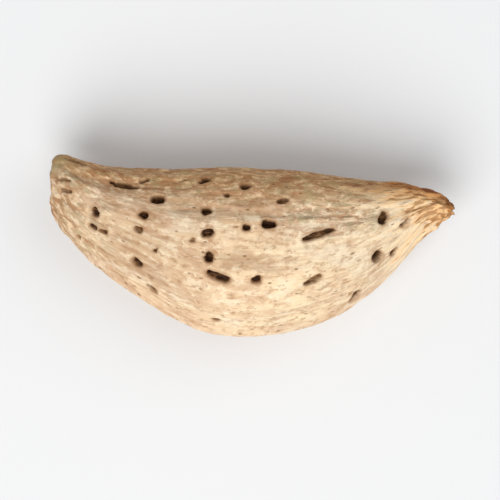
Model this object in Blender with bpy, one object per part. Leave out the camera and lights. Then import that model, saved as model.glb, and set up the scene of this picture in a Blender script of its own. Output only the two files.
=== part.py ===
"""An almond in its shell: one grown piece, lying on its broad side, made at its real size in metres.

+X runs from the blunt stem end to the pointed tip. +Y is the nearly straight dorsal edge, and -Y the deeply
curved ventral edge, which carries the keel with the suture along it. +Z is up, through the thin way, and the
shell rests on a small flat spot at z = 0.
"""
import math
import random

import bmesh
import bpy
import numpy as np
from mathutils import Matrix, Vector

MM = 0.001

# Driving dimensions
LENGTH = 38.3 * MM              # the sunk stem scar takes 0.3 mm of it
THICKNESS = 12.0 * MM
FLAT_SPOT_CUT = 0.2 * MM        # how much of the roundest place the flat spot takes away
STEM_END_ROUND = 1.7 * MM
STEM_END_FULLNESS = 2.8         # 2 is a round end, more is blunter
TIP_ROUND = 1.5 * MM

# Outline of the broad side, in millimetres from the stem end and from the long axis
DORSAL_EDGE = [(0, 3.4), (4, 2.3), (10.5, 1.95), (17, 2.35), (22, 2.4), (30, 1.85), (35.5, 1.3), (38, 0.6)]
VENTRAL_EDGE = [(0, -2.4), (4, -6.9), (9, -10.4), (14, -12.9), (19, -13.5), (24, -12.7), (29, -10.4),
                (33, -6.7), (36, -3.0), (38, -1.8)]
# Half thickness as a share of the greatest, at millimetres from the stem end
FULLNESS = [(0, 0.36), (4, 0.64), (10, 0.92), (17, 1.0), (24, 0.92), (30, 0.66), (35, 0.34), (38.3, 0.2)]

# Cross-section
DORSAL_LEAN = 0.16              # how much nearer the dorsal edge the section is thickest
FLATNESS = 0.88                 # 1 is an ellipse, less is flatter on the broad sides

# Keel and suture
KEEL_HEIGHT = 0.9 * MM
KEEL_HALF_WIDTH = 0.85 * MM
SUTURE_DEPTH = 0.3 * MM
SUTURE_HALF_WIDTH = 0.26 * MM
KEEL_HOLLOW_DEPTH = 0.22 * MM   # shallow furrow on each side of the keel
KEEL_HOLLOW_AWAY = 2.3 * MM
KEEL_HOLLOW_HALF_WIDTH = 0.9 * MM

# Ridges along the shell, the stem scar and the furrows of the tip
RIDGE_HEIGHT = 0.16 * MM
TIP_FURROW_DEPTH = 0.16 * MM
TIP_FURROWS = 7
SCAR_DEPTH = 0.6 * MM
SCAR_REACH = 0.05               # share of the way from pole to pole

# Pits on the upper side, in millimetres: from the stem end, from the long axis, length, width, and the
# turn in degrees from the long axis
UPPER_PITS = [
    (4.45, -2.15, 1.1, 0.75, -50), (4.3, -3.6, 1.2, 0.6, 4), (5.25, -4, 1.2, 0.45, 12),
    (3, -4.65, 0.75, 0.5, 0), (7.4, 0.4, 2.8, 0.75, 0), (10.25, -0.7, 1.7, 1.05, 14),
    (9, -2.25, 1.1, 0.85, -8), (8.55, -3.7, 1, 0.6, -6), (8.6, -6.85, 1.2, 0.9, -30),
    (10.4, -5.5, 0.7, 0.45, 60), (10.25, -9.3, 1.6, 0.7, -38), (14.55, 1.15, 1.3, 0.75, 42),
    (15.05, -1.7, 1.3, 0.8, 12), (15.1, -3.8, 1.5, 0.85, 18), (13.75, -4.5, 0.8, 0.45, 32),
    (15.5, -6, 1.2, 1, 0), (16.3, -7.8, 2.5, 0.8, -18), (18.6, 0.8, 1.3, 0.9, 0),
    (16.8, -0.1, 0.8, 0.55, 0), (18.85, -3, 1, 0.75, 0), (21, -2.6, 1.75, 0.95, 2),
    (19.9, -8, 1.3, 0.85, 8), (22.1, -0.4, 1.5, 0.65, 18), (25.6, -3.45, 3.8, 0.75, 16),
    (25.2, -7.8, 2.2, 0.7, 18), (31.65, -1.55, 1.5, 0.85, 46), (31.3, -5.25, 1.6, 1.3, 20),
    (32.8, -4.65, 1.2, 0.6, 24), (33.8, -1.9, 1.2, 0.7, 22), (29.25, -9.15, 1.7, 0.6, 38),
    (16.3, -11.8, 0.8, 0.5, 0),
]
OTHER_PIT_DRAWS = 400           # places tried on the sides that the list leaves bare
OTHER_PITS_SEED = 5
PIT_SPACING = 2.7 * MM
PIT_SIDES = 8
PIT_DEPTH_SHARE = 0.8           # of the pit's width
PIT_LIP = 0.35 * MM             # how far a cutter stands out of the shell

# Mesh
SECTION_POINTS = 60
STATIONS = 52
KEEL_CROWDING = 0.6             # how much closer the points of a section stand at the keel

SHELL_COLOUR = (0.74, 0.56, 0.36, 1.0)
SHELL_ROUGHNESS = 0.8


def smooth_curve(points, x):
    """The height at x of a smooth curve through points given in millimetres, in metres."""
    places, heights = np.array(points, dtype=float).T * MM
    slopes = np.gradient(heights, places)
    span = np.clip(np.searchsorted(places, x) - 1, 0, len(places) - 2)
    width = places[span + 1] - places[span]
    t = (x - places[span]) / width
    start = (2 * t**3 - 3 * t**2 + 1) * heights[span] + (t**3 - 2 * t**2 + t) * width * slopes[span]
    end = (3 * t**2 - 2 * t**3) * heights[span + 1] + (t**3 - t**2) * width * slopes[span + 1]
    return start + end


def share_curve(points, x):
    """The same curve for points whose heights are shares and not lengths."""
    return smooth_curve(points, x) / MM


def rounded_end(distance, radius, fullness):
    """1 away from an end, falling to 0 at it along a superellipse."""
    reach = np.clip(distance / radius, 0.0, 1.0)
    return (1 - (1 - reach) ** fullness) ** (1 / fullness)


def smooth_step(low, high, value):
    t = np.clip((value - low) / (high - low), 0.0, 1.0)
    return t * t * (3 - 2 * t)


def bell(value, half_width):
    return np.exp(-((value / half_width) ** 2))


def shell_points(along, around):
    """Points of the shell: along runs 0 to 1 from stem end to tip, around is 0 at the dorsal edge."""
    x = LENGTH * (1 - np.cos(math.pi * along)) / 2
    ends = rounded_end(x, STEM_END_ROUND, STEM_END_FULLNESS) * rounded_end(LENGTH - x, TIP_ROUND, 2.0)
    keel = smooth_step(0.04, 0.3, along) * smooth_step(0.0, 0.08, 1 - along)
    dorsal = smooth_curve(DORSAL_EDGE, x)
    ventral = smooth_curve(VENTRAL_EDGE, x) + KEEL_HEIGHT * keel
    half_width = (dorsal - ventral) / 2 * ends
    half_thickness = THICKNESS / 2 * share_curve(FULLNESS, x) * ends

    across, up = np.cos(around), np.sin(around)
    lean = 1 + DORSAL_LEAN * across
    y = (dorsal + ventral) / 2 + half_width * across
    z = half_thickness * np.sign(up) * np.abs(up) ** FLATNESS * lean

    at_ventral = smooth_step(0.0, 0.6, -across)
    raised = KEEL_HEIGHT * bell(z, KEEL_HALF_WIDTH) - SUTURE_DEPTH * bell(z, SUTURE_HALF_WIDTH)
    y -= raised * keel * at_ventral * ends

    off_keel = smooth_step(0.35, 1.2, np.pi - np.abs(around))
    swell = RIDGE_HEIGHT * ridge_pattern(along, around) * ends * off_keel
    hollow = bell(np.abs(z) - KEEL_HOLLOW_AWAY, KEEL_HOLLOW_HALF_WIDTH)
    swell -= KEEL_HOLLOW_DEPTH * hollow * keel * at_ventral
    swell -= TIP_FURROW_DEPTH * smooth_step(0.8, 0.9, along) * ends * (1 + np.cos(TIP_FURROWS * around)) / 2
    slant = np.hypot(across * half_thickness, up * half_width) + 1e-9
    y += swell * across * half_thickness / slant
    z += swell * up * half_width / slant

    x = x + SCAR_DEPTH * (1 - smooth_step(0.4 * SCAR_REACH, SCAR_REACH, along))
    return np.stack([x, y, z + THICKNESS / 2 - FLAT_SPOT_CUT], axis=-1)


def ridge_pattern(along, around):
    """Low ridges from end to end, which waver and part as they run."""
    broad = np.cos(9 * around + 1.6 * np.sin(5.0 * along))
    fine = np.cos(13 * around - 1.9 * np.sin(7.5 * along + 1.0))
    ends = smooth_step(0.0, 0.2, along) * smooth_step(0.0, 0.25, 1 - along)
    return (0.6 * broad + 0.4 * fine) * ends


def surface_frame(along, around):
    """A point of the shell with its lengthwise direction and its outward normal."""
    step = 1e-3
    point, ahead, beside = (Vector(shell_points(np.array(a), np.array(b)))
                            for a, b in ((along, around), (along + step, around), (along, around + step)))
    lengthwise = (ahead - point).normalized()
    outward = (beside - point).cross(lengthwise).normalized()
    return point, lengthwise, outward


def find_on_upper_side(x, y):
    """The along and around of the point of the upper side over a place in plan."""
    along = math.acos(1 - 2 * x / LENGTH) / math.pi
    arounds = np.linspace(0.0, math.pi, 721)
    heights = shell_points(np.full_like(arounds, along), arounds)[:, 1]
    return along, float(arounds[np.argmin(np.abs(heights - y))])


def pit_places():
    """Every pit as its point, direction, normal, length and width."""
    pits = []
    for x, y, length, width, turn in UPPER_PITS:
        along, around = find_on_upper_side(x * MM, y * MM)
        pits.append(turned_pit(along, around, length * MM, width * MM, turn))
    draw = random.Random(OTHER_PITS_SEED)
    for _ in range(OTHER_PIT_DRAWS):
        along = draw.uniform(0.17, 0.86)
        around = draw.choice((-1, 1)) * math.acos(draw.uniform(-0.85, 1.0))
        width = draw.uniform(0.45, 0.85) * MM
        length = width * draw.uniform(1.2, 3.2)
        pit = turned_pit(along, around, length, width, draw.gauss(8, 24))
        hidden = pit[2].z < 0.25
        off_flat_spot = pit[0].z > 2.2 * FLAT_SPOT_CUT
        apart = all((pit[0] - other[0]).length > PIT_SPACING for other in pits)
        if hidden and off_flat_spot and apart:
            pits.append(pit)
    return pits


def turned_pit(along, around, length, width, turn):
    point, lengthwise, outward = surface_frame(along, around)
    direction = Matrix.Rotation(math.radians(turn), 3, outward) @ lengthwise
    return point, direction, outward, length, width


def shell_mesh():
    """A sphere drawn out to the shell, and cut flat where it rests."""
    bm = bmesh.new()
    bmesh.ops.create_uvsphere(bm, u_segments=SECTION_POINTS, v_segments=STATIONS, radius=1.0)
    sphere = np.array([vertex.co for vertex in bm.verts])
    along = np.arccos(np.clip(sphere[:, 2], -1, 1)) / math.pi
    turn = np.arctan2(sphere[:, 1], sphere[:, 0])
    around = turn + KEEL_CROWDING * np.sin(turn)
    for vertex, place in zip(bm.verts, shell_points(along, around)):
        vertex.co = place
    cut = bmesh.ops.bisect_plane(bm, geom=bm.verts[:] + bm.edges[:] + bm.faces[:], plane_co=(0, 0, 0),
                                 plane_no=(0, 0, -1), clear_outer=True)
    rim = [item for item in cut["geom_cut"] if isinstance(item, bmesh.types.BMEdge)]
    bmesh.ops.contextual_create(bm, geom=rim)
    bmesh.ops.recalc_face_normals(bm, faces=bm.faces)
    mesh = bpy.data.meshes.new("almond")
    bm.to_mesh(mesh)
    bm.free()
    return mesh


def pit_cutters_mesh():
    """One slim bowl for each pit, wide outside the shell and narrow at its floor."""
    bm = bmesh.new()
    for point, direction, outward, length, width in pit_places():
        beside = outward.cross(direction)
        depth = PIT_DEPTH_SHARE * width
        rings = []
        for height, size in ((PIT_LIP, 1.0), (-0.55 * depth, 0.88), (-depth, 0.45)):
            ring = []
            for side in range(PIT_SIDES):
                angle = 2 * math.pi * (side + 0.5) / PIT_SIDES
                across = beside * (math.sin(angle) * width / 2 * size)
                lengthwise = direction * (math.cos(angle) * length / 2 * size)
                ring.append(bm.verts.new(point + outward * height + across + lengthwise))
            rings.append(ring)
        for upper, lower in zip(rings, rings[1:]):
            for side in range(PIT_SIDES):
                after = (side + 1) % PIT_SIDES
                bm.faces.new((upper[side], upper[after], lower[after], lower[side]))
        bm.faces.new(rings[0])
        bm.faces.new(rings[-1])
    bmesh.ops.recalc_face_normals(bm, faces=bm.faces)
    mesh = bpy.data.meshes.new("pit_cutters")
    bm.to_mesh(mesh)
    bm.free()
    return mesh


def shell_material():
    material = bpy.data.materials.new("almond_shell")
    material.use_nodes = True
    shader = material.node_tree.nodes["Principled BSDF"]
    shader.inputs["Base Color"].default_value = SHELL_COLOUR
    shader.inputs["Roughness"].default_value = SHELL_ROUGHNESS
    shader.inputs["Metallic"].default_value = 0.0
    return material


def build():
    for old in list(bpy.context.scene.objects):
        bpy.data.objects.remove(old, do_unlink=True)
    almond = bpy.data.objects.new("almond", shell_mesh())
    almond.data.materials.append(shell_material())
    almond.data.shade_smooth()
    cutters = bpy.data.objects.new("pit_cutters", pit_cutters_mesh())
    cutters.hide_render = True
    cutters.display_type = "WIRE"
    corners = np.array([vertex.co for vertex in almond.data.vertices])
    centre = (corners.min(axis=0) + corners.max(axis=0)) / 2
    for thing in (almond, cutters):
        thing.location = (-centre[0], -centre[1], 0.0)
        bpy.context.collection.objects.link(thing)
    pits = almond.modifiers.new("pits", "BOOLEAN")
    pits.operation = "DIFFERENCE"
    pits.object = cutters


build()
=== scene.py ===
"""An almond in its shell, finished for close views: pits, keel, fibres, stem scar and tip in one mesh."""
import math
import random

import bpy
import numpy as np
from mathutils import Matrix, Vector, noise


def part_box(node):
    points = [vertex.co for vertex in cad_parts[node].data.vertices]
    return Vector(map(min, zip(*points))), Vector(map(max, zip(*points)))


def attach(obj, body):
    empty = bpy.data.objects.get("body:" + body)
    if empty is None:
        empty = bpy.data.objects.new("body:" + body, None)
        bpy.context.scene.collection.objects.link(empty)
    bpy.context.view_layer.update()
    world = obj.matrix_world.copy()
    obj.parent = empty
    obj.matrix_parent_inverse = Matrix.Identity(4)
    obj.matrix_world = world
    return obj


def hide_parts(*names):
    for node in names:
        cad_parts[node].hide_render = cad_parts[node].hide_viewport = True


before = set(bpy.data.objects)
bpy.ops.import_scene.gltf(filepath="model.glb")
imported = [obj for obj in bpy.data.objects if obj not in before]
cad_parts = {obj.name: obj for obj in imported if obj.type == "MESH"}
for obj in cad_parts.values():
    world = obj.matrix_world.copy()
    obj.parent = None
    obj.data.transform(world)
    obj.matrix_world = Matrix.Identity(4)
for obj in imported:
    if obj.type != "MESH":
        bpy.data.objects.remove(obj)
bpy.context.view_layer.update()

bl_info = {
    "name": "Almond in its shell",
    "version": (1, 0, 0),
    "blender": (4, 5, 0),
    "location": "3D View > Sidebar > Almond",
    "description": "Models one almond in its pitted shell, and the pale table that it lies on",
    "category": "Add Mesh",
}

LOW_CORNER, HIGH_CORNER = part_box("almond")

# The shell's rule is in millimetres, and one of them is this long in the frame
SHELL_LENGTH = 38.3
STEM_SCAR_SUNK = 0.31
MM = (HIGH_CORNER[0] - LOW_CORNER[0]) / (SHELL_LENGTH - STEM_SCAR_SUNK)

# Outline of the broad side, as places from the stem end and from the long axis
DORSAL_EDGE = [(0, 3.4), (4, 2.3), (10.5, 1.95), (17, 2.35), (22, 2.4), (30, 1.85), (35.5, 1.3), (38, 0.6)]
VENTRAL_EDGE = [(0, -2.4), (4, -6.9), (9, -10.4), (14, -12.9), (19, -13.5), (24, -12.7), (29, -10.4),
                (33, -6.7), (36, -3.0), (38, -1.8)]
# Half thickness as a share of the greatest
FULLNESS = [(0, 0.36), (4, 0.64), (10, 0.92), (17, 1.0), (24, 0.92), (30, 0.66), (35, 0.34), (38.3, 0.2)]
HALF_THICKNESS = 6.0
FLAT_SPOT_CUT = 0.2
STEM_END_ROUND = 1.7
STEM_END_FULLNESS = 2.8
TIP_ROUND = 1.5
DORSAL_LEAN = 0.16
FLATNESS = 0.88
KEEL_HEIGHT = 0.9
KEEL_HALF_WIDTH = 0.85
SUTURE_DEPTH = 0.3
SUTURE_HALF_WIDTH = 0.26
KEEL_HOLLOW_DEPTH = 0.22
KEEL_HOLLOW_AWAY = 2.3
KEEL_HOLLOW_HALF_WIDTH = 0.9
RIDGE_HEIGHT = 0.16
TIP_FURROW_DEPTH = 0.16
TIP_FURROWS = 7
SCAR_DEPTH = 0.6
SCAR_REACH = 0.05

# Pits of the upper side: from the stem end, from the long axis, length, width, turn in degrees, darkness
UPPER_PITS = [
    (4.45, -2.15, 1.1, 0.75, -50, 0.9), (4.3, -3.6, 1.2, 0.6, 4, 0.9), (5.25, -4, 1.2, 0.45, 12, 0.75),
    (3, -4.65, 0.75, 0.5, 0, 0.65), (7.4, 0.4, 2.8, 0.75, 0, 0.8), (10.25, -0.7, 1.7, 1.05, 14, 1),
    (9, -2.25, 1.1, 0.85, -8, 1), (8.55, -3.7, 1, 0.6, -6, 0.72), (8.6, -6.85, 1.2, 0.9, -30, 1),
    (10.4, -5.5, 0.7, 0.45, 60, 0.72), (10.25, -9.3, 1.6, 0.7, -38, 1), (14.55, 1.15, 1.3, 0.75, 42, 1),
    (15.05, -1.7, 1.3, 0.8, 12, 0.95), (15.1, -3.8, 1.5, 0.85, 18, 1), (13.75, -4.5, 0.8, 0.45, 32, 0.72),
    (15.5, -6, 1.2, 1, 0, 1), (16.3, -7.8, 2.5, 0.8, -18, 1), (18.6, 0.8, 1.3, 0.9, 0, 1),
    (16.8, -0.1, 0.8, 0.55, 0, 0.75), (18.85, -3, 1, 0.75, 0, 1), (21, -2.6, 1.75, 0.95, 2, 1),
    (19.9, -8, 1.3, 0.85, 8, 0.9), (22.1, -0.4, 1.5, 0.65, 18, 0.7), (25.6, -3.45, 3.8, 0.75, 16, 0.85),
    (25.2, -7.8, 2.2, 0.7, 18, 0.75), (31.65, -1.55, 1.5, 0.85, 46, 0.9), (31.3, -5.25, 1.6, 1.3, 20, 1),
    (32.8, -4.65, 1.2, 0.6, 24, 0.9), (33.8, -1.9, 1.2, 0.7, 22, 0.85), (29.25, -9.15, 1.7, 0.6, 38, 0.9),
    (16.3, -11.8, 0.8, 0.5, 0, 0.8),
]
# Shallow marks that are too fine for the solid, given in the same way
UPPER_MARKS = [
    (6.1, 0.6, 1.0, 0.45, -10, 0.85), (8.95, 0.95, 1.3, 0.6, 35, 0.65), (1.55, 0.7, 1.4, 0.45, 24, 0.55),
    (1.65, -0.35, 1.5, 0.5, 28, 0.6), (17.9, -3.0, 0.7, 0.3, 0, 0.5), (12.6, 1.15, 1.0, 0.4, 20, 0.6),
    (28.2, -1.6, 1.4, 0.35, 4, 0.35), (12.2, -6.4, 0.8, 0.35, -30, 0.35), (22.9, -5.6, 0.8, 0.3, 10, 0.3),
]
# Pits of the other sides, which are drawn at random
OTHER_PIT_DRAWS = 400
OTHER_PITS_SEED = 5
OTHER_PIT_REACH = (0.17, 0.86)  # how far along the shell they lie
OTHER_PIT_WIDTHS = (0.45, 0.85)
OTHER_PIT_STRETCH = (1.2, 3.2)  # length over width
OTHER_PIT_TURN = (8, 24)        # mean and spread, in degrees
OTHER_PIT_DARKNESS = 0.9
KEEL_BARE = -0.85               # cosine of the way round past which the keel stays free of them
MOST_UPWARD = 0.25              # greatest upward part of the normal where one lies
FLAT_SPOT_CLEARANCE = 2.2 * FLAT_SPOT_CUT
PIT_SPACING = 2.7

PIT_DEPTH_SHARE = 0.8
FAINT_DEPTH_SHARE = 0.45        # depth of the faintest pit over that of the darkest
PIT_WALL = 0.14                 # how wide the slope of a pit's wall is
PIT_LIP = 0.035                 # how far the skin stands up round a pit
PIT_LIP_AWAY = 0.07
PIT_LIP_HALF_WIDTH = 0.1
PIT_STAIN = 0.3                 # how far the skin is stained round a pit
PIT_TAPER = 0.55                # how much narrower the ends of the most pointed pit are
PIT_SKEW = 0.35                 # how much wider one end may be than the other
PIT_RAGGEDNESS = 0.10
PIT_FINE_RAGGEDNESS = 0.05
PIT_FLOOR_ROUGHNESS = 0.35

# Greatest heights of the fine relief
UNEVENNESS = 0.14
VEIN_HEIGHT = 0.09
THREAD_HEIGHT = 0.045
HAIR_HEIGHT = 0.03
CORK_HEIGHT = 0.055
FINE_CORK_HEIGHT = 0.03
FOLD_HEIGHT = 0.20
STRAND_HEIGHT = 0.34
KNOB_HEIGHT = 0.16
WORN_DEPTH = 0.06
CREASE_DEPTH = 0.14
SCAR_ROUGHNESS = 0.22
SCAR_FINE_ROUGHNESS = 0.12
SCAR_RIM_HEIGHT = 0.12
SCAR_RIM_ROUGHNESS = 0.16
FULL_RELIEF = 0.1               # relief that the colours take as 1

# The ball of square faces that is drawn out to the shell
FACES_A_SIDE = 104
KEEL_CROWDING = 0.4
STEM_END_CROWDING = 0.06        # share of the way over which faces crowd towards the stem scar
FINE_MARGIN = 0.3               # how far round a pit the faces are halved
FAR_OFF = 9.0                   # distance that stands for nowhere near a pit or the seam

# Radius that the grain of the colours has round the ends, and how much more round the middle
GRAIN_END_RADIUS = 1.2
GRAIN_SWELL = 5.8

# Each light's place, width and watts, and the light of the room
KEY_LIGHT = ((-0.16, -0.46, 0.62), 0.75, 6.0)
FILL_LIGHT = ((0.5, 0.3, 0.75), 1.0, 2.2)
ROOM_COLOUR = (0.95, 0.97, 1.0, 1.0)
ROOM_STRENGTH = 0.4


def smooth_curve(points, x):
    """The height at x of a smooth curve through given points."""
    places, heights = np.array(points, dtype=float).T
    slopes = np.gradient(heights, places)
    span = np.clip(np.searchsorted(places, x) - 1, 0, len(places) - 2)
    width = places[span + 1] - places[span]
    t = (x - places[span]) / width
    start = (2 * t**3 - 3 * t**2 + 1) * heights[span] + (t**3 - 2 * t**2 + t) * width * slopes[span]
    end = (3 * t**2 - 2 * t**3) * heights[span + 1] + (t**3 - t**2) * width * slopes[span + 1]
    return start + end


def rounded_end(distance, radius, fullness):
    """1 away from an end, falling to 0 at it along a superellipse."""
    reach = np.clip(distance / radius, 0.0, 1.0)
    return (1 - (1 - reach) ** fullness) ** (1 / fullness)


def smooth_step(low, high, value):
    t = np.clip((value - low) / (high - low), 0.0, 1.0)
    return t * t * (3 - 2 * t)


def bell(value, half_width):
    return np.exp(-((value / half_width) ** 2))


def ridge_pattern(along, around):
    """Low ridges from end to end, which waver and part as they run."""
    broad = np.cos(9 * around + 1.6 * np.sin(5.0 * along))
    fine = np.cos(13 * around - 1.9 * np.sin(7.5 * along + 1.0))
    ends = smooth_step(0.0, 0.2, along) * smooth_step(0.0, 0.25, 1 - along)
    return (0.6 * broad + 0.4 * fine) * ends


def shell_points(along, around):
    """Points of the plain shell: along runs 0 to 1 from stem end to tip, around is 0 at the dorsal edge."""
    x = SHELL_LENGTH * (1 - np.cos(math.pi * along)) / 2
    ends = rounded_end(x, STEM_END_ROUND, STEM_END_FULLNESS) * rounded_end(SHELL_LENGTH - x, TIP_ROUND, 2.0)
    keel = smooth_step(0.04, 0.3, along) * smooth_step(0.0, 0.08, 1 - along)
    dorsal = smooth_curve(DORSAL_EDGE, x)
    ventral = smooth_curve(VENTRAL_EDGE, x) + KEEL_HEIGHT * keel
    half_width = (dorsal - ventral) / 2 * ends
    half_thickness = HALF_THICKNESS * smooth_curve(FULLNESS, x) * ends

    across, up = np.cos(around), np.sin(around)
    y = (dorsal + ventral) / 2 + half_width * across
    z = half_thickness * np.sign(up) * np.abs(up) ** FLATNESS * (1 + DORSAL_LEAN * across)

    at_ventral = smooth_step(0.0, 0.6, -across)
    raised = KEEL_HEIGHT * bell(z, KEEL_HALF_WIDTH) - SUTURE_DEPTH * bell(z, SUTURE_HALF_WIDTH)
    y -= raised * keel * at_ventral * ends

    off_keel = smooth_step(0.35, 1.2, np.pi - np.abs(around))
    swell = RIDGE_HEIGHT * ridge_pattern(along, around) * ends * off_keel
    hollow = bell(np.abs(z) - KEEL_HOLLOW_AWAY, KEEL_HOLLOW_HALF_WIDTH)
    swell -= KEEL_HOLLOW_DEPTH * hollow * keel * at_ventral
    swell -= TIP_FURROW_DEPTH * smooth_step(0.8, 0.9, along) * ends * (1 + np.cos(TIP_FURROWS * around)) / 2
    slant = np.hypot(across * half_thickness, up * half_width) + 1e-6
    y += swell * across * half_thickness / slant
    z += swell * up * half_width / slant

    x = x + SCAR_DEPTH * (1 - smooth_step(0.4 * SCAR_REACH, SCAR_REACH, along))
    return np.stack([x, y, z + HALF_THICKNESS - FLAT_SPOT_CUT], axis=-1)


def turned_pit(along, around, length, width, turn, darkness):
    """A pit as its point, direction, normal, length, width and darkness."""
    step = 1e-3
    point, ahead, beside = (Vector(shell_points(np.array(a), np.array(b)))
                            for a, b in ((along, around), (along + step, around), (along, around + step)))
    lengthwise = (ahead - point).normalized()
    outward = (beside - point).cross(lengthwise).normalized()
    direction = Matrix.Rotation(math.radians(turn), 3, outward) @ lengthwise
    return point, direction, outward, length, width, darkness


def upper_side_pit(x, y, length, width, turn, darkness):
    """A pit of the upper side, over its place in plan."""
    along = math.acos(1 - 2 * x / SHELL_LENGTH) / math.pi
    arounds = np.linspace(0.0, math.pi, 721)
    across = shell_points(np.full_like(arounds, along), arounds)[:, 1]
    around = float(arounds[np.argmin(np.abs(across - y))])
    return turned_pit(along, around, length, width, turn, darkness)


def pit_places():
    """The upper side's pits where they were seen, and others strewn evenly over the rest of the shell."""
    pits = [upper_side_pit(*row) for row in UPPER_PITS]
    draw = random.Random(OTHER_PITS_SEED)
    for _ in range(OTHER_PIT_DRAWS):
        along = draw.uniform(*OTHER_PIT_REACH)
        around = draw.choice((-1, 1)) * math.acos(draw.uniform(KEEL_BARE, 1.0))
        width = draw.uniform(*OTHER_PIT_WIDTHS)
        length = width * draw.uniform(*OTHER_PIT_STRETCH)
        pit = turned_pit(along, around, length, width, draw.gauss(*OTHER_PIT_TURN), OTHER_PIT_DARKNESS)
        point, _, outward = pit[:3]
        hidden = outward.z < MOST_UPWARD
        off_flat_spot = point.z > FLAT_SPOT_CLEARANCE
        apart = all((point - other[0]).length > PIT_SPACING for other in pits)
        if hidden and off_flat_spot and apart:
            pits.append(pit)
    return pits + [upper_side_pit(*row) for row in UPPER_MARKS]


def ball_places(ball):
    """Where points of the ball lie on the shell, as along and around."""
    spread = np.tan(ball * math.pi / 4)
    direction = spread / np.linalg.norm(spread, axis=1, keepdims=True)
    way = np.arccos(np.clip(-direction[:, 0], -1, 1)) / math.pi
    along = way * (way * (1 + STEM_END_CROWDING) / (way + STEM_END_CROWDING)) ** 0.4
    turn = np.arctan2(direction[:, 2], direction[:, 1])
    return along, turn + KEEL_CROWDING * np.sin(turn)


def pit_distance(points, pit):
    """How far points lie outside a pit's rim, in the plane of its mouth. Below 0 is inside.

    The pit's own place settles how pointed and how skewed it is.
    """
    centre, direction, outward, length, width, _ = pit
    beside = outward.cross(direction)
    offset = points - np.array(centre)
    lengthwise = offset @ np.array(direction)
    across = offset @ np.array(beside)
    away = offset @ np.array(outward)
    straight = max(length - width, 0.0) / 2
    taper = PIT_TAPER * (0.5 + 0.5 * math.sin(97.0 * centre[0]))
    skew = PIT_SKEW * math.sin(61.0 * centre[1])
    reach = np.clip(lengthwise / (length / 2), -1.2, 1.2)
    half_width = width / 2 * (1.06 - taper * reach**2 + skew * reach)
    past_end = np.abs(lengthwise) - np.minimum(np.abs(lengthwise), straight)
    distance = np.hypot(past_end, across) - np.maximum(half_width, 0.1 * width)
    return np.where(np.abs(away) < width + 0.4, distance, FAR_OFF)


def read_vectors(items, name):
    values = np.empty(len(items) * 3, dtype=np.float32)
    items.foreach_get(name, values)
    return values.reshape(-1, 3).astype(float)


def noise_at(points, stretch, seed):
    """Smooth noise from -1 to 1, drawn out by the stretch."""
    return np.array([noise.noise(point) for point in points * np.array(stretch) + seed * 13.7])


def veins_at(points, stretch, seed):
    """Fine lines that stand up, 1 on a line and falling to 0 between them."""
    return np.clip(1 - 3.0 * np.abs(noise_at(points, stretch, seed)), 0, 1)


def grain_vectors(along, around):
    """Places measured along and round the shell, so that a pattern follows its fibres with no seam."""
    x = SHELL_LENGTH * (1 - np.cos(math.pi * along)) / 2
    radius = GRAIN_END_RADIUS + GRAIN_SWELL * np.sin(math.pi * along) ** 0.8
    return np.stack([x, radius * np.cos(around), radius * np.sin(around)], axis=-1)


def worn_patches(grain):
    """1 where the papery outer skin has rubbed off, 0 where it is whole."""
    skin = noise_at(grain, (0.28, 0.6, 0.6), 14) + 0.45 * noise_at(grain, (1.1, 2.1, 2.1), 15)
    return smooth_step(0.05, 0.25, skin)


def creases_at(grain, along, around):
    """Short furrows along the fibres, most of them on the dorsal side and at the two ends."""
    line = np.clip(1 - 7 * np.abs(noise_at(grain, (0.11, 0.5, 0.5), 16)), 0, 1)
    broken = smooth_step(-0.02, 0.2, noise_at(grain, (0.3, 0.5, 0.5), 17))
    ends = 1 - smooth_step(0.12, 0.3, along) + smooth_step(0.72, 0.85, along)
    often = np.clip(0.25 + 0.75 * smooth_step(-0.1, 0.7, np.cos(around)) + ends, 0, 1)
    return line * broken * often


def scar_relief(plain, along):
    """The torn surface of the stem scar, with a low broken rim round it."""
    scar = 1 - smooth_step(0.6 * SCAR_REACH, 1.2 * SCAR_REACH, along)
    torn = SCAR_ROUGHNESS * noise_at(plain, (0, 1.3, 1.3), 19)
    torn += SCAR_FINE_ROUGHNESS * noise_at(plain, (0, 3.2, 3.2), 20)
    rim = bell(along - 1.25 * SCAR_REACH, 0.3 * SCAR_REACH)
    return scar * torn + rim * (SCAR_RIM_HEIGHT + SCAR_RIM_ROUGHNESS * noise_at(plain, (0, 1.5, 1.5), 21))


def relief_heights(plain, grain, along, around):
    """How far ridges, folds and fibres stand over the plain shell, and where it is worn and creased."""
    off_ends = smooth_step(0.0, 0.06, along) * smooth_step(0.0, 0.03, 1 - along)
    stem_end = 1 - smooth_step(0.08, 0.24, along)
    tip = smooth_step(0.76, 0.9, along)
    before_tip = smooth_step(0.66, 0.76, along)
    worn = worn_patches(grain)
    crease = creases_at(grain, along, around)
    uneven = UNEVENNESS * noise_at(grain, (0.12, 0.18, 0.18), 1)
    veins = VEIN_HEIGHT * veins_at(grain, (0.09, 0.45, 0.45), 2)
    threads = THREAD_HEIGHT * veins_at(grain, (0.16, 1.2, 1.2), 3)
    hairs = (HAIR_HEIGHT + HAIR_HEIGHT * worn) * noise_at(grain, (0.45, 3.0, 3.0), 4)
    cork = CORK_HEIGHT * noise_at(grain, (1.0, 1.5, 1.5), 5)
    cork += FINE_CORK_HEIGHT * noise_at(grain, (2.4, 3.2, 3.2), 11)
    folds = FOLD_HEIGHT * stem_end * noise_at(grain, (0.3, 1.2, 1.2), 6)
    strands = STRAND_HEIGHT * tip * noise_at(grain, (0.3, 1.0, 1.0), 7)
    knobs = KNOB_HEIGHT * before_tip * noise_at(grain, (0.7, 1.0, 1.0), 18)
    relief = uneven + veins + threads + hairs + cork + folds + strands + knobs
    relief = (relief - WORN_DEPTH * worn - CREASE_DEPTH * crease) * off_ends
    return relief + scar_relief(plain, along), worn, crease


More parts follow.
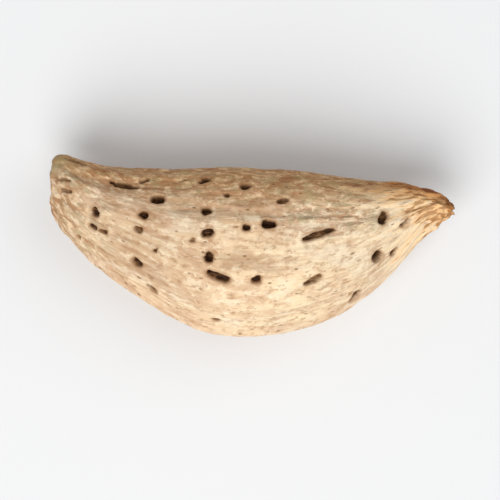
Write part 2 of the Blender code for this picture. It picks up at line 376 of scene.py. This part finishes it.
def cut_pits(points, normals, grain, pits):
    """Sinks the pits into the shell, and returns how deep and how near a pit each point is, 0 to 1."""
    depth = np.zeros(len(points))
    shade = np.zeros(len(points))
    halo = np.zeros(len(points))
    ragged = PIT_RAGGEDNESS * noise_at(grain, (1.5, 2.2, 2.2), 8)
    ragged += PIT_FINE_RAGGEDNESS * noise_at(grain, (3.5, 5.5, 5.5), 10)
    floor = 1 + PIT_FLOOR_ROUGHNESS * noise_at(grain, (1.2, 4.5, 4.5), 9)
    for pit in pits:
        distance = pit_distance(points, pit) + ragged
        sunk = smooth_step(0.0, PIT_WALL, -distance)
        _, _, _, _, width, darkness = pit
        deepest = PIT_DEPTH_SHARE * width * (FAINT_DEPTH_SHARE + (1 - FAINT_DEPTH_SHARE) * darkness)
        lip = PIT_LIP * bell(distance - PIT_LIP_AWAY, PIT_LIP_HALF_WIDTH) * darkness
        depth = np.maximum(depth, sunk * deepest * floor)
        depth -= np.where(sunk > 0, 0, lip)
        shade = np.maximum(shade, sunk * darkness)
        halo = np.maximum(halo, bell(np.maximum(distance, 0), PIT_STAIN) * darkness)
    return points - normals * depth[:, None], shade, halo


def store_attribute(mesh, name, vectors):
    layer = mesh.attributes.new(name, "FLOAT_VECTOR", "POINT")
    layer.data.foreach_set("vector", vectors.astype(np.float32).ravel())


def place_in_frame(points):
    """Scales millimetres to the frame and sets the shell over the solid that it stands for."""
    low, high = points.min(axis=0), points.max(axis=0)
    middle = (low + high) / 2
    frame_middle = (np.array(LOW_CORNER) + np.array(HIGH_CORNER)) / 2
    shift = frame_middle - middle * MM
    shift[2] = LOW_CORNER[2]
    return points * MM + shift


def grow_shell(settings):
    """A ball of square faces, halved again round the pits, and drawn out point by point to the shell."""
    bpy.ops.object.select_all(action="DESELECT")
    bpy.ops.mesh.primitive_cube_add(size=2)
    shell = bpy.context.active_object
    shell.name = "almond_shell"
    mesh = shell.data
    mesh.name = "almond_shell"
    bpy.ops.object.mode_set(mode="EDIT")
    bpy.ops.mesh.subdivide(number_cuts=FACES_A_SIDE - 1)
    bpy.ops.object.mode_set(mode="OBJECT")

    pits = pit_places()
    middles = shell_points(*ball_places(read_vectors(mesh.polygons, "center")))
    near = np.min([pit_distance(middles, pit) for pit in pits], axis=0) < FINE_MARGIN
    bpy.ops.object.mode_set(mode="EDIT")
    bpy.ops.mesh.select_all(action="DESELECT")
    bpy.ops.object.mode_set(mode="OBJECT")
    mesh.polygons.foreach_set("select", near)
    bpy.ops.object.mode_set(mode="EDIT")
    bpy.ops.mesh.select_mode(type="FACE")
    bpy.ops.mesh.subdivide(number_cuts=1)
    bpy.ops.mesh.select_all(action="DESELECT")
    bpy.ops.object.mode_set(mode="OBJECT")

    along, around = ball_places(read_vectors(mesh.vertices, "co"))
    plain = shell_points(along, around)
    mesh.vertices.foreach_set("co", plain.astype(np.float32).ravel())
    mesh.update()
    normals = read_vectors(mesh.vertices, "normal")
    grain = grain_vectors(along, around)
    relief, worn, crease = relief_heights(plain, grain, along, around)
    relief *= settings.relief
    carved, shade, halo = cut_pits(plain + normals * relief[:, None], normals, grain, pits)
    carved[:, 2] = np.maximum(carved[:, 2], 0.0)
    mesh.vertices.foreach_set("co", place_in_frame(carved).astype(np.float32).ravel())
    mesh.update()
    mesh.shade_smooth()

    seam = plain[:, 2] - HALF_THICKNESS + FLAT_SPOT_CUT
    ventral = smooth_step(0.2, 0.6, -np.cos(around))
    store_attribute(mesh, "grain", grain)
    store_attribute(mesh, "place", np.stack([along, np.cos(around), relief / FULL_RELIEF], axis=-1))
    store_attribute(mesh, "skin", np.stack([worn, crease, np.zeros_like(worn)], axis=-1))
    store_attribute(mesh, "pits", np.stack([shade, halo, np.abs(seam) + FAR_OFF * (1 - ventral)], axis=-1))
    return shell


def add_node(tree, kind, inputs=None, **settings):
    node = tree.nodes.new(kind)
    for name, value in settings.items():
        setattr(node, name, value)
    for name, value in (inputs or {}).items():
        if isinstance(value, bpy.types.NodeSocket):
            tree.links.new(value, node.inputs[name])
        else:
            node.inputs[name].default_value = value
    return node


def mix_colours(tree, share, first, second, blend="MIX"):
    inputs = {0: share, 6: first, 7: second}
    return add_node(tree, "ShaderNodeMix", inputs, data_type="RGBA", blend_type=blend).outputs[2]


def arithmetic(tree, operation, first, second):
    return add_node(tree, "ShaderNodeMath", {0: first, 1: second}, operation=operation).outputs[0]


def fade(tree, value, low, high, least=0.0, most=1.0):
    """least below low and most above high, with a smooth rise between."""
    inputs = {"Value": value, "From Min": low, "From Max": high, "To Min": least, "To Max": most}
    return add_node(tree, "ShaderNodeMapRange", inputs, interpolation_type="SMOOTHSTEP").outputs[0]


def streaks(tree, grain, stretch, seed, detail=4.0, roughness=0.55, waver=0.3):
    """Noise that follows the fibres, drawn out by the stretch."""
    inputs = {"Vector": grain, "Scale": stretch, "Location": (seed * 7.3, seed * 3.1, seed * 5.7)}
    vector = add_node(tree, "ShaderNodeMapping", inputs).outputs[0]
    texture = add_node(tree, "ShaderNodeTexNoise", {"Vector": vector, "Scale": 1.0, "Detail": detail,
                                                    "Roughness": roughness, "Distortion": waver})
    return texture.outputs["Fac"]


def specks(tree, grain, stretch, size, seed):
    """Small oval dots strewn over the shell, 1 in a dot and 0 between them."""
    inputs = {"Vector": grain, "Scale": stretch, "Location": (seed * 7.3, seed * 3.1, seed * 5.7)}
    vector = add_node(tree, "ShaderNodeMapping", inputs).outputs[0]
    cells = add_node(tree, "ShaderNodeTexVoronoi", {"Vector": vector, "Scale": 1.0, "Randomness": 1.0})
    chosen = add_node(tree, "ShaderNodeSeparateColor", {0: cells.outputs["Color"]}).outputs[0]
    dot = fade(tree, cells.outputs["Distance"], size, 0.5 * size)
    return arithmetic(tree, "MULTIPLY", dot, fade(tree, chosen, 0.5, 0.8))


def attribute_parts(tree, name):
    vector = add_node(tree, "ShaderNodeAttribute", attribute_name=name).outputs["Vector"]
    return add_node(tree, "ShaderNodeSeparateXYZ", {0: vector}).outputs


def skin_colour(tree, settings, grain, along, dorsal, worn):
    """Broad clouds of cream and beige, browner along the dorsal edge, partly its own colour and partly
    painted shade, and pinker where the skin is worn.
    """
    clouds = streaks(tree, grain, (0.10, 0.22, 0.22), 1, 5.0)
    darker = arithmetic(tree, "ADD", clouds, fade(tree, along, 0.20, 0.32, 0.0, 0.22))
    darker = arithmetic(tree, "ADD", darker, fade(tree, along, 0.38, 0.52, 0.0, -0.26))
    colour = mix_colours(tree, fade(tree, darker, 0.36, 0.66), settings.cream, settings.beige)
    scurf = fade(tree, streaks(tree, grain, (0.22, 0.35, 0.35), 10, 6.0), 0.5, 0.66, 0.0, 0.55)
    colour = mix_colours(tree, scurf, colour, settings.scurf)
    edge = arithmetic(tree, "ADD", dorsal, arithmetic(tree, "MULTIPLY", clouds, 0.7))
    narrower = fade(tree, along, 0.48, 0.36, 0.0, 0.32)
    narrower = arithmetic(tree, "MULTIPLY", narrower, fade(tree, along, 0.27, 0.31))
    edge = arithmetic(tree, "SUBTRACT", edge, narrower)
    edge = arithmetic(tree, "SUBTRACT", edge, fade(tree, along, 0.54, 0.63, 0.0, 0.32))
    # The dorsal edge is browned with tan and bark, partly its own colour and partly painted shade
    colour = mix_colours(tree, fade(tree, edge, 0.2, 1.2, 0.0, 0.85), colour, settings.tan)
    colour = mix_colours(tree, fade(tree, edge, 0.8, 1.35, 0.0, 0.7), colour, settings.bark)
    bloom = arithmetic(tree, "MULTIPLY", fade(tree, along, 0.19, 0.25), fade(tree, along, 0.48, 0.41))
    bloom = arithmetic(tree, "MULTIPLY", bloom, fade(tree, dorsal, -0.95, -0.65))
    colour = mix_colours(tree, bloom, colour, settings.bloom, "MULTIPLY")
    bands = fade(tree, streaks(tree, grain, (0.07, 0.75, 0.75), 2, 6.0), 0.5, 0.70, 0.0, 0.45)
    colour = mix_colours(tree, bands, colour, settings.tan)
    return mix_colours(tree, arithmetic(tree, "MULTIPLY", worn, 0.36), colour, settings.blush)


def mottled_colour(tree, settings, grain, colour, crease, height):
    """Pale and dark patches, threads and specks over the broad colours, with painted shade in the hollows of
    the relief and in the creases.
    """
    layers = (
        ((0.45, 0.8, 0.8), 11, 0.51, 0.63, 0.50, settings.blush),
        ((0.55, 1.0, 1.0), 20, 0.51, 0.63, 0.50, settings.pale),
        ((0.8, 1.4, 1.4), 21, 0.52, 0.64, 0.55, settings.tan),
        ((0.16, 2.8, 2.8), 3, 0.54, 0.72, 0.50, settings.pale),
        ((0.2, 4.2, 4.2), 4, 0.55, 0.72, 0.50, settings.fibre),
        ((1.2, 2.0, 2.0), 5, 0.53, 0.67, 0.60, settings.fibre),
        ((1.3, 2.2, 2.2), 12, 0.54, 0.68, 0.55, settings.pale),
    )
    for stretch, seed, low, high, strength, tint in layers:
        share = fade(tree, streaks(tree, grain, stretch, seed, 5.0, 0.6), low, high, 0.0, strength)
        colour = mix_colours(tree, share, colour, tint)
    # Painted shade in the hollows of the relief
    colour = mix_colours(tree, fade(tree, height, 0.2, -1.4, 0.0, 0.55), colour, settings.fibre)
    # Painted shade in the creases
    return mix_colours(tree, arithmetic(tree, "MULTIPLY", crease, 0.6), colour, settings.fibre)


def end_patches(tree, settings, grain, colour, along, dorsal):
    """Stronger light and dark patches on the stem end, the dorsal side and the dorsal half near the tip."""
    stem_end = fade(tree, along, 0.30, 0.18)
    near_tip = arithmetic(tree, "MULTIPLY", fade(tree, along, 0.50, 0.60), fade(tree, dorsal, -0.2, 0.3))
    where = arithmetic(tree, "MAXIMUM", stem_end, near_tip)
    where = arithmetic(tree, "MAXIMUM", where, fade(tree, dorsal, 0.3, 0.8, 0.0, 0.8))
    for stretch, seed, tint in (((0.9, 1.3, 1.3), 24, settings.pale), ((1.0, 1.5, 1.5), 25, settings.fibre),
                                ((0.7, 1.0, 1.0), 26, settings.moss)):
        patches = fade(tree, streaks(tree, grain, stretch, seed, 5.0, 0.6), 0.52, 0.60, 0.0, 0.7)
        colour = mix_colours(tree, arithmetic(tree, "MULTIPLY", patches, where), colour, tint)
    return colour


def tip_colour(tree, settings, grain, colour, reach, strands):
    """A pale zone of painted light, a honey-coloured zone, and then the tip's orange-brown tuft of fibres."""
    # Painted light: the zone before the tip is lightened as if more brightly lit
    colour = mix_colours(tree, fade(tree, reach, 0.93, 1.02, 0.0, 0.85), colour, settings.pale)
    colour = mix_colours(tree, fade(tree, reach, 0.97, 1.07, 0.0, 0.75), colour, settings.honey)
    curls = fade(tree, streaks(tree, grain, (0.5, 0.6, 0.6), 27), 0.46, 0.55)
    tuft = mix_colours(tree, curls, settings.honey, settings.beak)
    tuft = mix_colours(tree, fade(tree, strands, 0.49, 0.58, 0.0, 0.75), tuft, settings.bark)
    return mix_colours(tree, fade(tree, reach, 1.05, 1.1, 0.0, 0.95), colour, tuft)


def stem_end_colour(tree, settings, colour, along, dorsal):
    """A greenish dorsal corner, and the dark torn scar of the stem."""
    place = add_node(tree, "ShaderNodeTexCoord").outputs["Object"]
    torn = add_node(tree, "ShaderNodeTexNoise", {"Vector": place, "Scale": 1.1 / MM, "Detail": 5.0,
                                                 "Roughness": 0.6}).outputs["Fac"]
    corner = arithmetic(tree, "MULTIPLY", fade(tree, along, 0.22, 0.06), fade(tree, dorsal, 0.1, 0.7))
    corner = arithmetic(tree, "MULTIPLY", corner, fade(tree, torn, 0.36, 0.58, 0.45, 0.95))
    colour = mix_colours(tree, corner, colour, settings.moss)
    scar = fade(tree, torn, 0.60, 0.44, 0.25, 0.95)
    scar = arithmetic(tree, "MULTIPLY", scar, fade(tree, along, 0.055, 0.04))
    return mix_colours(tree, scar, colour, settings.pit_rim)


def end_colour(tree, settings, grain, colour, along, dorsal):
    """The tip and the stem end, both with dark strands that run in from their ends."""
    strands = streaks(tree, grain, (0.3, 1.5, 1.5), 6, 5.0)
    reach = arithmetic(tree, "ADD", along, arithmetic(tree, "MULTIPLY", strands, 0.5))
    reach = arithmetic(tree, "ADD", reach, arithmetic(tree, "MULTIPLY", dorsal, 0.03))
    colour = tip_colour(tree, settings, grain, colour, reach, strands)
    colour = mix_colours(tree, fade(tree, reach, 0.50, 0.34, 0.0, 0.35), colour, settings.tan)
    thick = streaks(tree, grain, (0.3, 1.3, 1.3), 23, 5.0)
    near_ends = arithmetic(tree, "MAXIMUM", fade(tree, along, 0.26, 0.12), fade(tree, along, 0.84, 0.90))
    dark_strands = arithmetic(tree, "MULTIPLY", fade(tree, thick, 0.51, 0.59, 0.0, 0.8), near_ends)
    colour = mix_colours(tree, dark_strands, colour, settings.bark)
    return stem_end_colour(tree, settings, colour, along, dorsal)


def pit_colour(tree, settings, grain, colour, shade, halo):
    """Brown specks and stains, and pits whose brown walls and nearly black floors are their own darker fibre
    deepened with painted shade.
    """
    dots = specks(tree, grain, (0.8, 1.5, 1.5), 0.2, 13)
    colour = mix_colours(tree, arithmetic(tree, "MULTIPLY", dots, 0.7), colour, settings.pit_rim)
    colour = mix_colours(tree, fade(tree, halo, 0.3, 1.0, 0.0, 0.55), colour, settings.fibre)
    # Painted shade in the pits, over their own darker fibre
    pit_patchiness = fade(tree, streaks(tree, grain, (1.2, 3.0, 3.0), 22), 0.3, 0.7, 0.7, 1.15)
    pit_stain_and_shade = arithmetic(tree, "MULTIPLY", shade, pit_patchiness)
    colour = mix_colours(tree, fade(tree, pit_stain_and_shade, 0.05, 0.8), colour, settings.pit_rim)
    return mix_colours(tree, fade(tree, pit_stain_and_shade, 0.6, 0.98), colour, settings.pit_floor)


def shell_colour(tree, settings, grain):
    """Cream cork with tan fibres, a browner dorsal edge that is partly painted shade, an orange-brown suture
    and tip, painted shade along the keel, painted light before the tip, and dark pits deepened with painted
    shade.
    """
    along, dorsal, height = attribute_parts(tree, "place")
    shade, halo, seam = attribute_parts(tree, "pits")
    worn, crease, _ = attribute_parts(tree, "skin")
    colour = skin_colour(tree, settings, grain, along, dorsal, worn)
    colour = mottled_colour(tree, settings, grain, colour, crease, height)
    # Painted shade: a warm darker band along the keel
    colour = mix_colours(tree, fade(tree, seam, 1.6, 0.5, 0.0, 0.3), colour, settings.blush)
    colour = mix_colours(tree, fade(tree, seam, 0.28, 0.05, 0.0, 0.7), colour, settings.beak)
    colour = end_patches(tree, settings, grain, colour, along, dorsal)
    colour = end_colour(tree, settings, grain, colour, along, dorsal)
    # Warmth deepens the dorsal side, partly its own colour and partly painted shade
    colour = mix_colours(tree, fade(tree, dorsal, 0.4, 0.95, 0.0, 0.85), colour, settings.warmth, "MULTIPLY")
    # Painted shade: the dorsal edge towards the tip is darkened as if in shadow
    ragged = arithmetic(tree, "MULTIPLY", streaks(tree, grain, (0.3, 1.2, 1.2), 28), 0.5)
    ragged = arithmetic(tree, "ADD", along, ragged)
    painted_edge_shade = fade(tree, ragged, 0.82, 1.02, 0.0, 0.9)
    painted_edge_shade = arithmetic(tree, "MULTIPLY", painted_edge_shade, fade(tree, dorsal, 0.62, 0.95))
    colour = mix_colours(tree, painted_edge_shade, colour, settings.shade, "MULTIPLY")
    return pit_colour(tree, settings, grain, colour, shade, halo)


def shell_bump(tree, grain):
    """Fibres that run from end to end over a dry, corky skin."""
    fibres = streaks(tree, grain, (0.3, 4.5, 4.5), 7, 5.0, 0.6)
    cork = streaks(tree, grain, (2.6, 3.6, 3.6), 8, 6.0, 0.65)
    coarse = add_node(tree, "ShaderNodeBump", {"Height": fibres, "Distance": 0.10 * MM, "Strength": 0.8})
    fine = add_node(tree, "ShaderNodeBump", {"Height": cork, "Distance": 0.13 * MM, "Strength": 0.8,
                                             "Normal": coarse.outputs[0]})
    return fine.outputs[0]


def shell_material(settings):
    material = bpy.data.materials.new("almond_shell_skin")
    material.use_nodes = True
    tree = material.node_tree
    shader = tree.nodes["Principled BSDF"]
    grain = add_node(tree, "ShaderNodeAttribute", attribute_name="grain").outputs["Vector"]
    tree.links.new(shell_colour(tree, settings, grain), shader.inputs["Base Color"])
    tree.links.new(fade(tree, streaks(tree, grain, (0.3, 2.0, 2.0), 9), 0.35, 0.7, 0.72, 0.92),
                   shader.inputs["Roughness"])
    tree.links.new(shell_bump(tree, grain), shader.inputs["Normal"])
    shader.inputs["Specular IOR Level"].default_value = 0.3
    return material


def floor_material(settings):
    material = bpy.data.materials.new("pale_table")
    material.use_nodes = True
    tree = material.node_tree
    shader = tree.nodes["Principled BSDF"]
    place = add_node(tree, "ShaderNodeTexCoord").outputs["Object"]
    noise_inputs = {"Vector": place, "Scale": 9.0, "Detail": 3.0}
    paper = add_node(tree, "ShaderNodeTexNoise", noise_inputs).outputs["Fac"]
    white = settings.table
    greyer = tuple(part * 0.985 for part in white[:3]) + (1.0,)
    tree.links.new(mix_colours(tree, paper, white, greyer), shader.inputs["Base Color"])
    shader.inputs["Roughness"].default_value = 0.85
    shader.inputs["Specular IOR Level"].default_value = 0.2
    return material


def colour_property(name, description, red, green, blue):
    return bpy.props.FloatVectorProperty(name=name, description=description, subtype="COLOR", size=4,
                                         min=0.0, max=1.0, default=(red, green, blue, 1.0))


class AlmondShellSettings(bpy.types.PropertyGroup):
    """Relief and colours of the shell"""
    relief: bpy.props.FloatProperty(name="Relief", description="Strength of the fine ridges and fibres",
                                    default=1.0, min=0.0, max=2.0, subtype="FACTOR")
    cream: colour_property("Cream", "Lightest broad patches", 0.90, 0.70, 0.45)
    beige: colour_property("Beige", "Broad patches between the light ones", 0.80, 0.58, 0.36)
    # Warmth is partly the dorsal side's own colour and partly painted shade
    warmth: colour_property("Warmth", "Tint that deepens towards the dorsal edge", 1.0, 0.81, 0.57)
    bloom: colour_property("Bloom", "Tint that greys the stem end's half", 0.85, 0.83, 0.82)
    # Shade is painted shade, the tint that darkens the dorsal edge towards the tip
    shade: colour_property("Shade", "Tint that darkens the dorsal edge towards the tip", 0.50, 0.36, 0.25)
    scurf: colour_property("Scurf", "Greyish bloom in clouds", 0.82, 0.70, 0.52)
    # On the dorsal edge, tan and bark are partly its own colour and partly painted shade
    tan: colour_property("Tan", "Broad fibres, the stem end, and towards the dorsal edge", 0.52, 0.30, 0.155)
    bark: colour_property("Bark", "The dorsal edge, and dark strands at both ends", 0.38, 0.19, 0.08)
    # Blush also paints shade along the keel
    blush: colour_property("Blush", "Warm patches where the skin is worn", 0.64, 0.41, 0.26)
    # Pale also paints light on the zone before the tip
    pale: colour_property("Pale", "Light threads and flecks, and the zone before the tip", 0.95, 0.80, 0.57)
    # Fibre in creases and hollows is painted shade; on threads it is their own colour
    fibre: colour_property("Fibre", "Dark threads, creases and hollows", 0.38, 0.20, 0.095)
    beak: colour_property("Beak", "Orange-brown fibres of the tip, and the suture", 0.47, 0.19, 0.05)
    honey: colour_property("Honey", "Light fibres of the tip", 0.97, 0.60, 0.28)
    moss: colour_property("Moss", "The dorsal corner of the stem end, and greenish patches", 0.46, 0.37, 0.21)
    # In the pits, pit rim and pit floor are their own darker fibre deepened with painted shade; the floor's
    # near-black is mostly painted shade
    pit_rim: colour_property("Pit rim", "The walls of the pits and the stem scar", 0.17, 0.075, 0.022)
    pit_floor: colour_property("Pit floor", "The floors of the pits", 0.04, 0.013, 0.003)


class AlmondStageSettings(bpy.types.PropertyGroup):
    """The table, the lights and the camera"""
    table: colour_property("Table", "Colour of the table", 0.78, 0.78, 0.78)
    table_width: bpy.props.FloatProperty(name="Table width", description="Width of the square table",
                                         default=3.0, unit="LENGTH")
    turn: bpy.props.FloatProperty(name="Camera turn", description="Turn of the camera about the upright",
                                  default=math.radians(2.5), subtype="ANGLE")
    camera_height: bpy.props.FloatProperty(name="Camera height", description="Height over the table",
                                           default=0.45, unit="LENGTH")
    share: bpy.props.FloatProperty(name="Share of the picture",
                                   description="Length of the nut over the width of the picture",
                                   default=0.8, min=0.1, max=1.0, subtype="FACTOR")


class ALMOND_OT_shell(bpy.types.Operator):
    """Model the almond's shell with its pits, keel and fibres"""
    bl_idname = "almond.shell"
    bl_label = "Almond shell"
    bl_options = {"REGISTER", "UNDO"}

    def execute(self, context):
        settings = context.scene.almond_shell
        shell = grow_shell(settings)
        shell.data.materials.append(shell_material(settings))
        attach(shell, "root")
        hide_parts("almond")
        return {"FINISHED"}


def add_softbox(name, target, place, width, watts):
    bpy.ops.object.light_add(type="AREA", location=place)
    light = bpy.context.active_object
    light.name = name
    light.data.shape = "DISK"
    light.data.size = width
    light.data.energy = watts
    light.rotation_euler = (Vector(target) - Vector(place)).to_track_quat("-Z", "Y").to_euler()


class ALMOND_OT_stage(bpy.types.Operator):
    """Add the pale table, the soft lights and the camera that looks straight down"""
    bl_idname = "almond.stage"
    bl_label = "Table, lights and camera"
    bl_options = {"REGISTER", "UNDO"}

    def execute(self, context):
        settings = context.scene.almond_stage
        bpy.ops.object.select_all(action="DESELECT")
        bpy.ops.mesh.primitive_plane_add(size=settings.table_width, location=(0, 0, 0))
        table = context.active_object
        table.name = "table"
        table.data.materials.append(floor_material(settings))

        middle = (Vector(LOW_CORNER) + Vector(HIGH_CORNER)) / 2
        add_softbox("key_light", middle, *KEY_LIGHT)
        add_softbox("fill_light", middle, *FILL_LIGHT)
        world = bpy.data.worlds.new("soft_room")
        world.use_nodes = True
        background = world.node_tree.nodes["Background"]
        background.inputs["Color"].default_value = ROOM_COLOUR
        background.inputs["Strength"].default_value = ROOM_STRENGTH
        context.scene.world = world

        length = HIGH_CORNER[0] - LOW_CORNER[0]
        bpy.ops.object.camera_add(location=(middle.x, middle.y, settings.camera_height),
                                  rotation=(0, 0, settings.turn))
        camera = context.active_object
        camera.name = "camera"
        view_width = length / settings.share
        distance = settings.camera_height - middle.z
        camera.data.lens = camera.data.sensor_width * distance / view_width
        context.scene.camera = camera
        context.scene.view_settings.view_transform = "Standard"
        return {"FINISHED"}


class ALMOND_PT_panel(bpy.types.Panel):
    """Buttons and settings of the almond"""
    bl_label = "Almond"
    bl_space_type = "VIEW_3D"
    bl_region_type = "UI"
    bl_category = "Almond"

    def draw(self, context):
        layout = self.layout
        for operator, group in (("almond.shell", context.scene.almond_shell),
                                ("almond.stage", context.scene.almond_stage)):
            box = layout.box()
            box.operator(operator)
            for name in group.__annotations__:
                box.prop(group, name)


CLASSES = (AlmondShellSettings, AlmondStageSettings, ALMOND_OT_shell, ALMOND_OT_stage, ALMOND_PT_panel)


def register():
    for item in CLASSES:
        bpy.utils.register_class(item)
    bpy.types.Scene.almond_shell = bpy.props.PointerProperty(type=AlmondShellSettings)
    bpy.types.Scene.almond_stage = bpy.props.PointerProperty(type=AlmondStageSettings)


def unregister():
    del bpy.types.Scene.almond_stage
    del bpy.types.Scene.almond_shell
    for item in reversed(CLASSES):
        bpy.utils.unregister_class(item)


def main():
    register()
    bpy.ops.almond.shell()
    bpy.ops.almond.stage()


if __name__ == "__main__":
    main()
